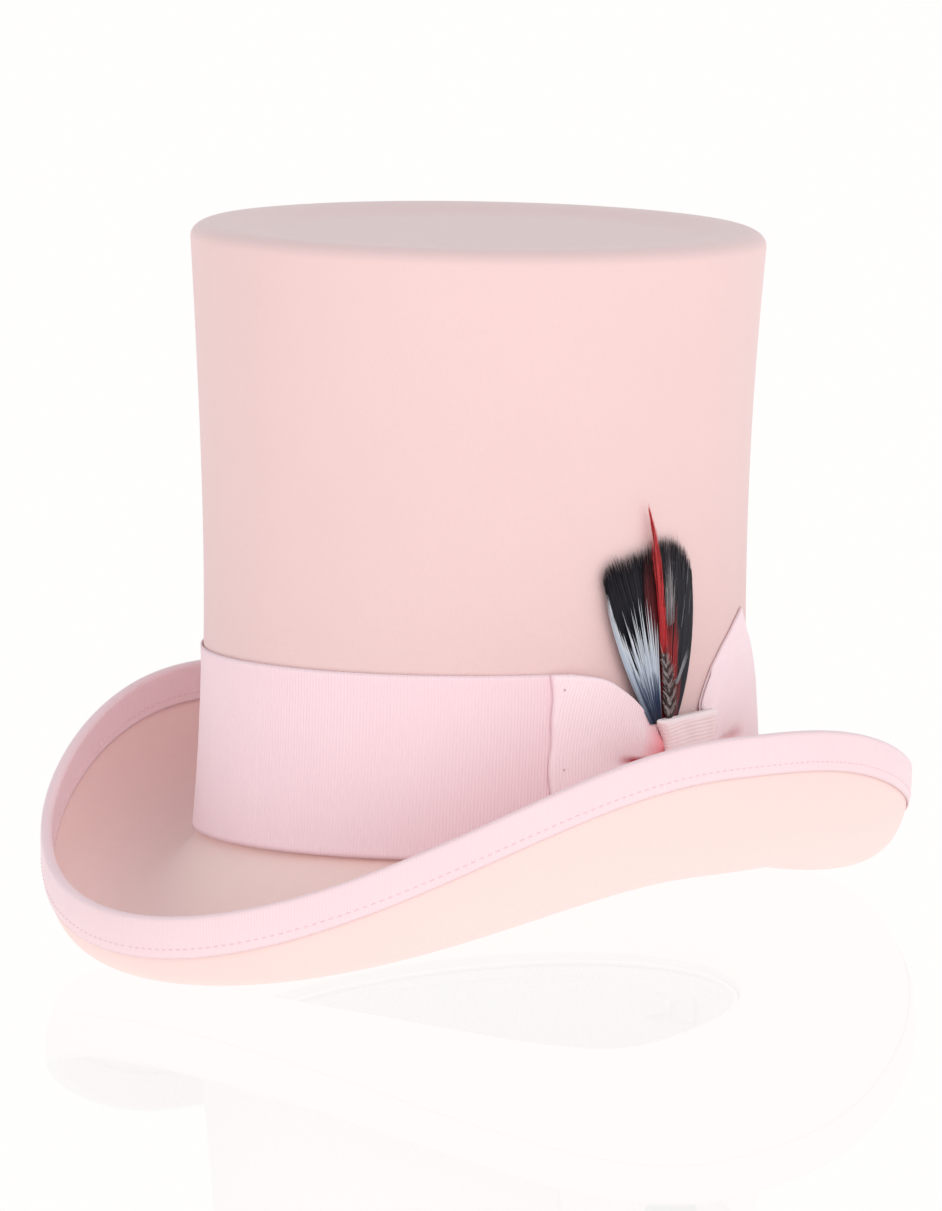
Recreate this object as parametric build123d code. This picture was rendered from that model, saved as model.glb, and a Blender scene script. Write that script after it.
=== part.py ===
from build123d import *
import os
from math import cos, hypot, radians, sin, sqrt

# A tall felt top hat with a curled, bound brim, a ribbon band with a flat side bow,
# and a bunch of feathers that slides up out of the pocket behind the bow's knot.
#
# Everything is drawn in the hat's own frame: the origin is the centre of the oval
# where crown and brim meet, +Z runs up the crown, the front is -Y and the wearer's
# left is +X.  Angles run from the front (0) over the left side (90) to the back (180).
# main() then stands the hat on its brim, with the crown raked back a little.

# ---------------------------------------------------------------- driving sizes (mm)
HALF_WIDTH = 87.5          # band oval, side to side
HALF_LENGTH = 103.0        # band oval, front to back
CROWN_HEIGHT = 206.0       # break line to the top of the crown
CROWN_FLARE = ((0.0, 1.0), (0.36, 0.975), (0.7, 0.995), (1.0, 1.037))
CROWN_LEAN = 3.0           # the tip sits this much further forward than the base
TIP_ROLL = 8.0             # rounding round the top edge
DISH_DEPTH = 2.8           # the tip is slightly sunk inside its rolled edge
DISH_OUTER = 0.90
DISH_INNER = 0.70
RAKE = 3.1                 # degrees the crown leans back when the hat stands

RIBBON = 0.6               # grosgrain
CROWN_FELT = 2.2
BRIM_FELT = 2.3
COLLAR = 1.4               # brim felt shaved thin where it stands up inside the crown
COLLAR_HEIGHT = 12.0
COLLAR_LEAN = 1.05         # the collar leans in, as the crown's wall does
SWEATBAND = 1.0
SWEATBAND_HEIGHT = 38.0
SWEATBAND_BOTTOM = 2.6
REED_RADIUS = 0.8
REED_Z = 1.2               # height of the reed's centre
SEAM_Z = 5.3               # the sweatband's seam, just over the reed
LINING = 0.5
AIR = 0.15                 # gap between layers that only touch
BINDING_AIR = 0.25         # the same, round the edge of the brim
SWEATBAND_INSET = RIBBON + AIR + CROWN_FELT + AIR + COLLAR + 0.75
LINING_INSET = RIBBON + AIR + CROWN_FELT + AIR
BAND_WIDTH = 62.5

RIM_HALF_WIDTH = 127.6
RIM_FRONT = 157.6
RIM_BACK = 165.6
RIM_Z = (-19.0, 42.3, 3.0)         # rim height at front, side, back
RIM_POWER = (2.3, 2.8)
LOW_Z = (-39.6, -3.8, -24.2)       # lowest line of the upper surface
LOW_POWER = (2.1, 5.0)
LOW_REACH = (0.72, 0.50, 0.66)     # where that line runs across the brim's width
LEAVE_REACH = (0.38, 0.22, 0.36)   # how far the brim keeps its first slope
CURL_REACH = (1.0, 1.05, 1.0)      # how round the curl is
ROUND = (2.0, 2.0)

BINDING_WIDTH = 12.0
BINDING_STITCH_INSET = 3.0
THREAD_WIDTH = 0.45
THREAD_PROUD = 0.3

BOW_CENTRE = 101.0         # degrees
KNOT_HALF_WIDTH = 16.5     # along Y
KNOT_HALF_HEIGHT = 15.5
KNOT_Z = 31.0
KNOT_STAND_OFF = 6.2
KNOT_THICKNESS = 1.6
WING_REACH = 37.5          # degrees from the bow's centre to the front wing's fold
WING_THICKNESS = 2.4
REAR_FOLD_TOP = (60.0, 78.0)       # the rear wing's fold slants: its ends as (Y, Z)
REAR_FOLD_BOTTOM = (78.0, 10.0)

FEATHER_X = 88.4           # plane of the innermost feather
FEATHER_Y = 5.0            # where the quills leave the pocket
FEATHER_PLY = 0.35
FEATHER_PITCH = 0.45
PIN_X = 88.3
PIN_RADIUS = 0.6
PIN_BELOW = 26.0           # how far the pin goes down into the pocket
WRAP_RADIUS = 1.3
WRAP_HEIGHT = 8.0
WRAP_BELOW = 3.0           # the wrap sits this far down inside the pocket
ROOT_Z = KNOT_Z + KNOT_HALF_HEIGHT + 0.8   # the quills leave the pocket just above the knot

SECTIONS = 15              # sections round half the brim


# ---------------------------------------------------------------- shared geometry
def blend(theta, values, powers):
    """A value that runs smoothly from the front, through the side, to the back."""
    front, side, back = values
    c = cos(radians(theta))
    if c > 0:
        return side + (front - side) * c ** powers[0]
    return side + (back - side) * (-c) ** powers[1]


def oval_radius(theta, front, side, back):
    """Polar radius of an oval made of a front and a back half ellipse."""
    c = cos(radians(theta))
    s = sin(radians(theta))
    reach = front if c > 0 else back
    return 1 / sqrt((c / reach) ** 2 + (s / side) ** 2)


def polar(theta, radius, z):
    return Vector(radius * sin(radians(theta)), -radius * cos(radians(theta)), z)


def flare(z):
    """Crown size at a height, as a share of its size at the band line."""
    u = min(max(z / CROWN_HEIGHT, 0.0), 1.0)
    for (u0, s0), (u1, s1) in zip(CROWN_FLARE, CROWN_FLARE[1:]):
        if u <= u1:
            return s0 + (s1 - s0) * (u - u0) / (u1 - u0)
    return CROWN_FLARE[-1][1]


def crown_oval(z, inset, scale=1.0):
    """Flat oval face round the crown's axis, a distance inside the ribbon's surface."""
    size = flare(z) * scale
    centre = (0, -CROWN_LEAN * max(z, 0) / CROWN_HEIGHT, z)
    face = Ellipse(HALF_WIDTH * size - inset, HALF_LENGTH * size - inset)
    return Pos(*centre) * face


def crown_body(inset, top=CROWN_HEIGHT):
    """The crown's flared body as a solid, a distance inside the ribbon's surface."""
    levels = [CROWN_HEIGHT * u for u, _ in CROWN_FLARE]
    return trim(loft([crown_oval(z, inset) for z in levels]), 0, top)


def trim(shape, bottom, top):
    slab = Pos(0, 0, (bottom + top) / 2) * Box(400, 400, top - bottom)
    return shape & slab


def crown_layer(outer_inset, inner_inset, bottom, top):
    """A layer that follows the crown's wall between two heights."""
    shell = crown_body(outer_inset) - crown_body(inner_inset)
    return trim(shell, bottom, top)


# ---------------------------------------------------------------- brim surface
def brim_controls(theta):
    """Two quadratic curves, end to end, from the collar to the rim: five points."""
    start = oval_radius(theta, HALF_LENGTH, HALF_WIDTH, HALF_LENGTH)
    start -= RIBBON + CROWN_FELT + 2 * AIR
    rim = oval_radius(theta, RIM_FRONT, RIM_HALF_WIDTH, RIM_BACK)
    width = rim - start
    low = blend(theta, LOW_Z, LOW_POWER)
    return (
        (start, -AIR),
        (start + width * blend(theta, LEAVE_REACH, ROUND), low),
        (start + width * blend(theta, LOW_REACH, ROUND), low),
        (start + width * blend(theta, CURL_REACH, ROUND), low),
        (rim, blend(theta, RIM_Z, RIM_POWER)),
    )


def brim_point(theta, t, lift=0.0):
    """Point (radius, z) of the upper surface at t = 0 (collar) to 2 (rim), moved off
    the surface along its normal by lift (negative is down, through the felt)."""
    points = brim_controls(theta)
    first = 0 if t <= 1 else 2
    p, q, r = points[first:first + 3]
    u = t - (0 if t <= 1 else 1)
    radius = (1 - u) ** 2 * p[0] + 2 * u * (1 - u) * q[0] + u * u * r[0]
    z = (1 - u) ** 2 * p[1] + 2 * u * (1 - u) * q[1] + u * u * r[1]
    dr = (1 - u) * (q[0] - p[0]) + u * (r[0] - q[0])
    dz = (1 - u) * (q[1] - p[1]) + u * (r[1] - q[1])
    size = hypot(dr, dz)
    return radius - lift * dz / size, z + lift * dr / size


def rim_t(theta, distance):
    """Value of t at a distance from the rim, measured along the surface."""
    steps = 40
    walked = 0.0
    last = brim_point(theta, 2)
    for i in range(1, steps + 1):
        here = brim_point(theta, 2 - i / steps)
        step = hypot(here[0] - last[0], here[1] - last[1])
        if walked + step >= distance:
            return 2 - (i - 1 + (distance - walked) / step) / steps
        walked += step
        last = here
    return 1.0


def brim_curve(theta, t_start, t_end, lift, count):
    """Spline along the brim in one radial section."""
    points = []
    for i in range(count):
        t = t_start + (t_end - t_start) * i / (count - 1)
        points.append(polar(theta, *brim_point(theta, t, lift)))
    return Spline(*points)


def section_face(edges):
    return Face(Wire(edges))


def around(section):
    """Loft a section round the left half of the hat and mirror it to the right."""
    faces = [section(180 * i / (SECTIONS - 1)) for i in range(SECTIONS)]
    half = loft(faces)
    return half + mirror(half, about=Plane.YZ)


# ---------------------------------------------------------------- felt body
def crown_felt():
    outer = crown_body(RIBBON + AIR)
    outer = fillet(outer.edges().group_by(Axis.Z)[-1], TIP_ROLL)
    dish = loft([
        crown_oval(CROWN_HEIGHT + 0.01, RIBBON, DISH_OUTER),
        crown_oval(CROWN_HEIGHT - DISH_DEPTH, RIBBON, DISH_INNER),
    ])
    cavity = crown_body(RIBBON + AIR + CROWN_FELT, CROWN_HEIGHT - DISH_DEPTH - CROWN_FELT)
    return outer - dish - cavity


def brim_section(theta):
    upper = brim_curve(theta, 0, 2, 0, 13)
    lower = brim_curve(theta, 2, 0, -BRIM_FELT, 13)
    collar_outer = brim_point(theta, 0)[0] - COLLAR_LEAN
    collar_top = polar(theta, collar_outer, COLLAR_HEIGHT)
    collar_inside = polar(theta, collar_outer - COLLAR, COLLAR_HEIGHT)
    edges = [
        Line(collar_top, upper @ 0),
        upper,
        Line(upper @ 1, lower @ 0),
        lower,
        Line(lower @ 1, collar_inside),
        Line(collar_inside, collar_top),
    ]
    return section_face(edges)


def brim_felt():
    return around(brim_section)


def binding_section(theta):
    """Ribbon folded over the rim: up the outside, round the edge, down the inside."""
    near = rim_t(theta, BINDING_WIDTH)
    above = (BINDING_AIR, BINDING_AIR + RIBBON)
    below = (-BRIM_FELT - BINDING_AIR, -BRIM_FELT - BINDING_AIR - RIBBON)
    inner_in = brim_curve(theta, near, 2, above[0], 6)
    inner_out = brim_curve(theta, near, 2, above[1], 6)
    outer_in = brim_curve(theta, 2, near, below[0], 6)
    outer_out = brim_curve(theta, 2, near, below[1], 6)
    tip_in = edge_beyond(theta, BINDING_AIR, above[0], below[0])
    tip_out = edge_beyond(theta, BINDING_AIR + RIBBON, above[1], below[1])
    edges = [
        inner_in,
        Line(inner_in @ 1, tip_in[0]),
        Line(tip_in[0], tip_in[1]),
        Line(tip_in[1], outer_in @ 0),
        outer_in,
        Line(outer_in @ 1, outer_out @ 1),
        reverse_edge(outer_out),
        Line(outer_out @ 0, tip_out[1]),
        Line(tip_out[1], tip_out[0]),
        Line(tip_out[0], inner_out @ 1),
        reverse_edge(inner_out),
        Line(inner_out @ 0, inner_in @ 0),
    ]
    return section_face(edges)


def reverse_edge(edge):
    points = [edge @ (1 - i / 5) for i in range(6)]
    return Spline(*points)


def edge_beyond(theta, beyond, upper_lift, lower_lift):
    """Two corners just past the rim's cut edge, in line with the two surfaces."""
    a = brim_point(theta, 1.98)
    b = brim_point(theta, 2)
    size = hypot(b[0] - a[0], b[1] - a[1])
    step = ((b[0] - a[0]) / size * beyond, (b[1] - a[1]) / size * beyond)
    corners = []
    for lift in (upper_lift, lower_lift):
        radius, z = brim_point(theta, 2, lift)
        corners.append(polar(theta, radius + step[0], z + step[1]))
    return corners


def brim_binding():
    return around(binding_section)


def thread_section(theta, lift):
    """Cross-section of the sewing thread, lying on one face of the binding."""
    half = THREAD_WIDTH / 2
    corners = []
    for along, out in ((-half, 0), (half, 0), (half, THREAD_PROUD), (-half, THREAD_PROUD)):
        near = rim_t(theta, BINDING_WIDTH - BINDING_STITCH_INSET + along)
        signed = lift + (out if lift > 0 else -out)
        corners.append(polar(theta, *brim_point(theta, near, signed)))
    return Face(Wire.make_polygon(corners))


def binding_thread_outside():
    return around(lambda theta: thread_section(theta, -BRIM_FELT - RIBBON - 2 * BINDING_AIR))


def binding_thread_inside():
    return around(lambda theta: thread_section(theta, RIBBON + 2 * BINDING_AIR))


# ---------------------------------------------------------------- band and bow
def hatband():
    """The band's top edge dips behind the bow, where the ribbon is gathered in."""
    ring = crown_layer(0, RIBBON, 0.3, BAND_WIDTH)
    fold = band_y(BOW_CENTRE - WING_REACH)
    over_knot = KNOT_Z + KNOT_HALF_HEIGHT - 4
    dip = [
        Line((fold + 3, BAND_WIDTH + 2), (fold + 18, BAND_WIDTH - 4)),
        Line((fold + 18, BAND_WIDTH - 4), (fold + 37, over_knot)),
        Line((fold + 37, over_knot), (fold + 72, over_knot)),
        Line((fold + 72, over_knot), (fold + 80, BAND_WIDTH + 2)),
        Line((fold + 80, BAND_WIDTH + 2), (fold + 3, BAND_WIDTH + 2)),
    ]
    return ring - Pos(20, 0, 0) * extrude(Plane.YZ * make_face(dip), 120)


def side_plate(outline, outer_offset, inner_offset):
    """A piece of a layer outside the band, cut to an outline seen from the side."""
    plate = crown_layer(-outer_offset, -inner_offset, 0.5, CROWN_HEIGHT / 2)
    face = Plane.YZ * make_face(outline)
    return plate & (Pos(20, 0, 0) * extrude(face, 120))


def band_y(theta):
    """Y of the band's surface at an angle."""
    radius = oval_radius(theta, HALF_LENGTH, HALF_WIDTH, HALF_LENGTH)
    return -radius * cos(radians(theta))


def bow_front_wing():
    fold = band_y(BOW_CENTRE - WING_REACH)
    knot = band_y(BOW_CENTRE) - KNOT_HALF_WIDTH - 0.6
    narrow = KNOT_HALF_HEIGHT - 1
    outline = [
        Line((fold, 1), (fold, BAND_WIDTH)),
        Spline((fold, BAND_WIDTH), (fold + 16, BAND_WIDTH - 1.5), (knot, KNOT_Z + narrow)),
        Line((knot, KNOT_Z + narrow), (knot, KNOT_Z - narrow)),
        Spline((knot, KNOT_Z - narrow), (fold + 16, 2.5), (fold, 1)),
    ]
    return side_plate(outline, AIR + WING_THICKNESS, AIR)


def bow_rear_wing():
    """Rises out from under the knot to stand higher than the band."""
    knot = band_y(BOW_CENTRE) + KNOT_HALF_WIDTH + 0.6
    over_knot = KNOT_Z + KNOT_HALF_HEIGHT + 0.7
    low = KNOT_Z - KNOT_HALF_HEIGHT + 1
    corner = (knot - 4, over_knot)
    outline = [
        Line(REAR_FOLD_BOTTOM, REAR_FOLD_TOP),
        Spline(REAR_FOLD_TOP, (knot + 17, over_knot + 26), (knot + 4, over_knot + 16), corner),
        Line(corner, (knot, over_knot)),
        Line((knot, over_knot), (knot, low)),
        Spline((knot, low), (knot + 19, 7.5), REAR_FOLD_BOTTOM),
    ]
    return side_plate(outline, AIR + WING_THICKNESS, AIR)


def bow_knot():
    """A ribbon bridge: it stands off the band and comes back to it at both ends."""
    centre = band_y(BOW_CENTRE)
    low = KNOT_Z - KNOT_HALF_HEIGHT
    high = KNOT_Z + KNOT_HALF_HEIGHT
    left = centre - KNOT_HALF_WIDTH
    right = centre + KNOT_HALF_WIDTH
    block = [Polyline((left, low), (right, low), (right, high), (left, high), close=True)]
    inside = [Polyline(
        (left + KNOT_THICKNESS, low - 1), (right - KNOT_THICKNESS, low - 1),
        (right - KNOT_THICKNESS, high + 1), (left + KNOT_THICKNESS, high + 1), close=True)]
    bridge = side_plate(block, KNOT_STAND_OFF, AIR)
    hollow = side_plate(inside, KNOT_STAND_OFF - KNOT_THICKNESS, 0)
    return bridge - hollow


def bow_tack_stitches():
    """Small thread crosses that hold the front wing's fold to the band."""
    tacks = []
    y = band_y(BOW_CENTRE - WING_REACH) + 3
    for z in (6, 30, BAND_WIDTH - 5):
        tacks.append(side_tack(y, z))
    return Compound(children=tacks)


def side_tack(y, z):
    square = [Polyline((y, z), (y + 1.2, z), (y + 1.2, z + 1.2), (y, z + 1.2), close=True)]
    return side_plate(square, AIR + WING_THICKNESS + 0.7, AIR + WING_THICKNESS + AIR)


# ---------------------------------------------------------------- inside the hat
def sweatband():
    outer = SWEATBAND_INSET
    return crown_layer(outer, outer + SWEATBAND, SWEATBAND_BOTTOM, SWEATBAND_HEIGHT)


def sweatband_reed():
    """A round cord that stiffens the sweatband's lower edge."""
    inset = SWEATBAND_INSET + REED_RADIUS + AIR
    path = Pos(0, 0, REED_Z) * Ellipse(HALF_WIDTH - inset, HALF_LENGTH - inset)
    start = Plane(origin=(HALF_WIDTH - inset, 0, REED_Z), z_dir=(0, 1, 0))
    return sweep(start * Circle(REED_RADIUS), path=path.wire())


def sweatband_thread():
    """The seam that closes the sweatband's fold over the reed."""
    inset = SWEATBAND_INSET + SWEATBAND + AIR
    return crown_layer(inset, inset + THREAD_PROUD, SEAM_Z, SEAM_Z + THREAD_WIDTH)


def sweatband_bow():
    """The little ribbon bow at the back seam, seen from inside the hat."""
    y = HALF_LENGTH - SWEATBAND_INSET - SWEATBAND - 3.0
    z = 14.0
    half = [Polyline((1.5, -1.2), (12, -4), (12, 4), (1.5, 1.2), close=True)]
    wing = extrude(Plane.XZ * make_face(half), 1.2)
    knot = Box(3.0, 2.6, 4.0)
    bow = wing + mirror(wing, about=Plane.YZ) + knot
    return Pos(0, y, z) * bow


def lining_side():
    top = CROWN_HEIGHT - DISH_DEPTH - CROWN_FELT - LINING - 2 * AIR
    return crown_layer(LINING_INSET, LINING_INSET + LINING, COLLAR_HEIGHT + 2, top)


def lining_tip():
    top = CROWN_HEIGHT - DISH_DEPTH - CROWN_FELT - AIR
    disc = crown_body(LINING_INSET)
    return trim(disc, top - LINING, top)


# ---------------------------------------------------------------- feather bunch
def feather(layer, outline):
    """A flat feather: an outline in the YZ plane with a little thickness."""
    x = FEATHER_X + layer * FEATHER_PITCH
    face = Plane.YZ * make_face(outline)
    return Pos(x, 0, 0) * extrude(face, FEATHER_PLY)


def leaf(root, tip, width, belly=0.6):
    """Closed leaf outline from root to tip; belly places its widest point."""
    ry, rz = root
    ty, tz = tip
    length = hypot(ty - ry, tz - rz)
    ny = -(tz - rz) / length
    nz = (ty - ry) / length
    my = ry + (ty - ry) * belly
    mz = rz + (tz - rz) * belly
    left = (my + ny * width / 2, mz + nz * width / 2)
    right = (my - ny * width / 2, mz - nz * width / 2)
    return [Spline(root, left, tip), Spline(tip, right, root)]


BASE = (FEATHER_Y, ROOT_Z)


def black_feather_rear():
    return feather(0, leaf(BASE, (4, ROOT_Z + 59), 24, 0.74))


def black_feather_front():
    return feather(1, leaf(BASE, (-14, ROOT_Z + 51), 19, 0.74))


def pale_hackle():
    return feather(2, leaf(BASE, (-17, ROOT_Z + 31), 9, 0.6))


def red_hackle():
    return feather(3, leaf(BASE, (6, ROOT_Z + 34), 8, 0.5))


def red_spike():
    return feather(4, leaf(BASE, (-3, ROOT_Z + 72), 4, 0.6))


def white_wisp():
    return feather(5, leaf(BASE, (5, ROOT_Z + 53), 3, 0.6))


def grizzly_feather():
    return feather(6, leaf(BASE, (4, ROOT_Z + 23), 7, 0.5))


def feather_thread_wrap():
    """Thread that binds the quills to the pin."""
    middle = Pos(PIN_X, FEATHER_Y, ROOT_Z - WRAP_BELOW - WRAP_HEIGHT / 2)
    bore = Cylinder(PIN_RADIUS, WRAP_HEIGHT + 1)
    return middle * (Cylinder(WRAP_RADIUS, WRAP_HEIGHT) - bore)


def feather_pin():
    middle = Pos(PIN_X, FEATHER_Y, ROOT_Z - 0.1 - PIN_BELOW / 2)
    return middle * Cylinder(PIN_RADIUS, PIN_BELOW)


# ---------------------------------------------------------------- assembly
PARTS = (
    crown_felt, brim_felt, brim_binding, binding_thread_outside, binding_thread_inside,
    hatband, bow_front_wing, bow_rear_wing, bow_knot, bow_tack_stitches,
    sweatband, sweatband_reed, sweatband_thread, sweatband_bow, lining_side, lining_tip,
    black_feather_front, black_feather_rear, pale_hackle, red_spike, red_hackle,
    white_wisp, grizzly_feather, feather_thread_wrap, feather_pin,
)


def rake(shape):
    return Rot(X=-RAKE) * shape


def main():
    os.makedirs("parts", exist_ok=True)
    raked = {build.__name__: rake(build()) for build in PARTS}
    felt = raked["brim_felt"].bounding_box()
    rim = raked["brim_binding"].bounding_box()
    middle = (rim.min.Y + rim.max.Y) / 2
    stand = Pos(0, -middle, -min(felt.min.Z, rim.min.Z))
    for name, shape in raked.items():
        export_step(stand * shape, f"parts/{name}.step")
    print("stands at", stand.position)


main()
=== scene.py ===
from math import cos, pi, radians, sin

import bmesh
import bpy
import numpy as np
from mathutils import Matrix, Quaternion, Vector


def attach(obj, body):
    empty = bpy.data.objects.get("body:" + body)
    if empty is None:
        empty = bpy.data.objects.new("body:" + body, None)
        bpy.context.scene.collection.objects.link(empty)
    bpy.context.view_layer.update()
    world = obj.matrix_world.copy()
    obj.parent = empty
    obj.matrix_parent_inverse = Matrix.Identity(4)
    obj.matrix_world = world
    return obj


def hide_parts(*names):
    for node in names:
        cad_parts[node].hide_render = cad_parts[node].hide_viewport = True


# The looks of a tall felt top hat: felt crown and curled brim, grosgrain binding and
# band, a flat side bow, a feather bunch, and the sweatband and lining inside.
#
# Shapes are worked out in the hat's own frame, in millimetres: the origin is the centre
# of the oval where crown and brim meet, +Z runs up the crown, the front is -Y and the
# wearer's left is +X.  to_row() stands them on the brim in the row frame, in metres.

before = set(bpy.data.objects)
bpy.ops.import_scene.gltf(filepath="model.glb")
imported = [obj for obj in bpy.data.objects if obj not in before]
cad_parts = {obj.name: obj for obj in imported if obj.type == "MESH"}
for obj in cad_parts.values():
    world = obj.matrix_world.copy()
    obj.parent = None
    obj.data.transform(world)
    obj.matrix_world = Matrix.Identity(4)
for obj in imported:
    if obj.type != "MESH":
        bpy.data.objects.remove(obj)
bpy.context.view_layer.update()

# ---------------------------------------- sizes (mm)
RAKE = radians(3.1)        # the standing hat is tipped back by this much
STAND = np.array([0.0, -3.54401, 34.3997])     # where the oval's centre stands in the row frame
HALF_WIDTH = 87.5          # of the oval at the foot of the crown, to the band's outer face
HALF_LENGTH = 103.0
CROWN_HEIGHT = 206.0
CROWN_LEAN = 2.6           # the crown's top stands this far to the front of its foot
SIDE_LEAN = 0.6            # and this far to the wearer's left
TIP_TILT = (0.0100, 0.0104)    # the tip drops this much per millimetre to the left and back
FLARE = np.polyfit([0.0, 0.36, 0.7, 1.0], [1.0, 0.975, 0.995, 1.037], 3)
TIP_ROLL = 8.0             # how far the rounded top edge reaches in
ROLL_HEIGHT = 5.5          # the roll turns over sooner than a quarter circle would
DISH_DEPTH = 2.8           # the tip is sunk this far, between these distances in from its edge
DISH_START = 11.0
DISH_END = 30.0

RIBBON = 0.6               # thickness of the ribbon
AIR = 0.15                 # gap between layers that lie on each other
CROWN_FELT = 2.2
BRIM_FELT = 2.3
COLLAR = 1.4               # the brim's thin collar stands up inside the crown
COLLAR_HEIGHT = 12.0
COLLAR_LEAN = 1.05
BINDING_AIR = 0.25
BINDING_WIDTH = 12.0       # the part of the binding that shows on each face
BINDING_RIBBON = 28.0      # the whole ribbon, laid flat
STITCH_INSET = 3.0
BAND_WIDTH = 62.5
SWEATBAND_INSET = 5.25
SWEATBAND_HEIGHT = 38.0
LINING_INSET = 3.1
LINING_FOOT = 14.0
SATIN = 0.3                # thickness of the satin

RIM_HALF_WIDTH = 127.6
RIM_FRONT = 157.6
RIM_BACK = 165.6

# The brim's heights and reaches are at its front, side and back.  The powers shape the
# change between them, ahead of the side and behind it.  A reach is a share of the width.
RIM_Z = (-19.0, 42.3, 3.0)
RIM_POWER = (2.3, 2.8)
LOW_Z = (-39.6, -3.8, -24.2)
LOW_POWER = (2.1, 5.0)
LOW_REACH = (0.72, 0.50, 0.66)
LEAVE_REACH = (0.38, 0.22, 0.36)
CURL_REACH = (1.0, 1.05, 1.0)
ROUND = (2.0, 2.0)

FRONT_FOLD_Y = -41.2       # the front wing's fold
FRONT_WING_LENGTH = 47.0   # from its fold to its end under the knot
REAR_WING_START_Y = 25.0
WING_ROWS = 44
WING_COLUMNS = 90
TACK_HEIGHTS = (6.5, 30.5, 57.5)
TACK_Y = np.array([-37.7, -36.8])
KNOT_Z = 31.0
KNOT_Y = 16.0
KNOT_HALF_HEIGHT = 15.5
KNOT_STAND_OFF = 6.2
KNOT_RIBBON = 34.0         # the strap's width

FEATHER_X = 88.0
FEATHER_ROOT_Z = 47.3
FEATHER_LEAN = 0.030       # the bunch leans this much to the front as it rises
FEATHER_HUG = 0.020        # and this much in towards the crown
CROWN_SIDE_RADIUS = 125.0  # the bunch curves round the crown's side like this

COLUMNS = 360
PHI = np.linspace(0, 2 * pi, COLUMNS + 1)


# ---------------------------------------- shape helpers
def to_row(points):
    """Millimetres in the hat's own frame to metres in the row frame."""
    p = np.asarray(points, float)
    y = p[..., 1] * cos(RAKE) + p[..., 2] * sin(RAKE)
    z = -p[..., 1] * sin(RAKE) + p[..., 2] * cos(RAKE)
    return (np.stack([p[..., 0], y, z], -1) + STAND) / 1000


def smooth(x, low, high):
    """0 at low, 1 at high, an S-curve between and level beyond; low may be the larger."""
    t = np.clip((x - low) / (high - low), 0, 1)
    return t * t * (3 - 2 * t)


def curve(u, start, middle, end):
    """A smooth curve that leaves start towards middle and turns to end."""
    return (1 - u) ** 2 * start + 2 * u * (1 - u) * middle + u * u * end


def rounded(values):
    """Evens out the corners in a row of values."""
    return np.convolve(np.pad(values, 3, "edge"), np.ones(7) / 7, "valid")


def crown_size(z):
    """The crown's width at a height, as a share of its width at the foot."""
    return np.polyval(FLARE, np.clip(np.asarray(z, float) / CROWN_HEIGHT, 0, 1))


def unevenness(phi, z):
    """The crown isn't a perfect oval: fractions of a millimetre in and out."""
    wave = 0.16 * np.sin(3 * phi + 0.7) * np.sin(z / 38 + 0.4)
    wave += 0.12 * np.sin(5 * phi + 2.1 + z / 55)
    return wave + 0.08 * np.sin(9 * phi - z / 31)


def crown_points(phi, z, offset):
    """Points round the crown, at a distance out from the band's outer face."""
    phi, z, offset = np.broadcast_arrays(phi, np.asarray(z, float), offset)
    out = offset + unevenness(phi, z)
    x = (HALF_WIDTH * crown_size(z) + out) * np.sin(phi) + SIDE_LEAN * z / CROWN_HEIGHT
    y = -(HALF_LENGTH * crown_size(z) + out) * np.cos(phi) - CROWN_LEAN * z / CROWN_HEIGHT
    drop = (TIP_TILT[0] * x + TIP_TILT[1] * y) * smooth(z, 130, CROWN_HEIGHT)
    return np.stack([x, y, z - drop], -1)


def left_side_points(y, z, offset):
    """Points on the wearer's left, placed by their front-to-back position."""
    length = HALF_LENGTH * crown_size(z)
    lean = CROWN_LEAN * np.asarray(z, float) / CROWN_HEIGHT
    phi = np.arccos(np.clip(-(np.asarray(y, float) + lean) / length, -1, 1))
    return crown_points(phi, z, offset)


def blend_around(phi, values, powers):
    """A value for each angle, from those at the front, side and back."""
    front, side, back = values
    c = np.cos(phi)
    ahead = side + (front - side) * np.abs(c) ** powers[0]
    behind = side + (back - side) * np.abs(c) ** powers[1]
    return np.where(c > 0, ahead, behind)


def oval_radius(phi, front, side, back):
    """Radius of an oval whose front and back halves may differ in length."""
    reach = np.where(np.cos(phi) > 0, front, back)
    return 1 / np.sqrt((np.cos(phi) / reach) ** 2 + (np.sin(phi) / side) ** 2)


def brim_section(phi, t, lift):
    """Radius and height at t = 0 (crown), 1 (lowest line) to 2 (rim), lifted off the
    brim's upper face, and the direction in which the brim runs there."""
    start = oval_radius(phi, HALF_LENGTH, HALF_WIDTH, HALF_LENGTH)
    start = start - RIBBON - CROWN_FELT - 2 * AIR
    rim = oval_radius(phi, RIM_FRONT, RIM_HALF_WIDTH, RIM_BACK)
    width = rim - start
    low = blend_around(phi, LOW_Z, LOW_POWER)
    leave = start + width * blend_around(phi, LEAVE_REACH, ROUND)
    lowest = start + width * blend_around(phi, LOW_REACH, ROUND)
    curl = start + width * blend_around(phi, CURL_REACH, ROUND)
    rim_z = blend_around(phi, RIM_Z, RIM_POWER)
    outer = np.asarray(t) > 1
    u = np.where(outer, t - 1.0, t)
    points = (
        (np.where(outer, lowest, start), np.where(outer, low, -AIR)),
        (np.where(outer, curl, leave), low),
        (np.where(outer, rim, lowest), np.where(outer, rim_z, low)),
    )
    (r0, z0), (r1, z1), (r2, z2) = points
    radius = curve(u, r0, r1, r2)
    z = curve(u, z0, z1, z2)
    dr = (1 - u) * (r1 - r0) + u * (r2 - r1)
    dz = (1 - u) * (z1 - z0) + u * (z2 - z1)
    size = np.hypot(dr, dz)
    return radius - lift * dz / size, z + lift * dr / size, dr / size, dz / size


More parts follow.
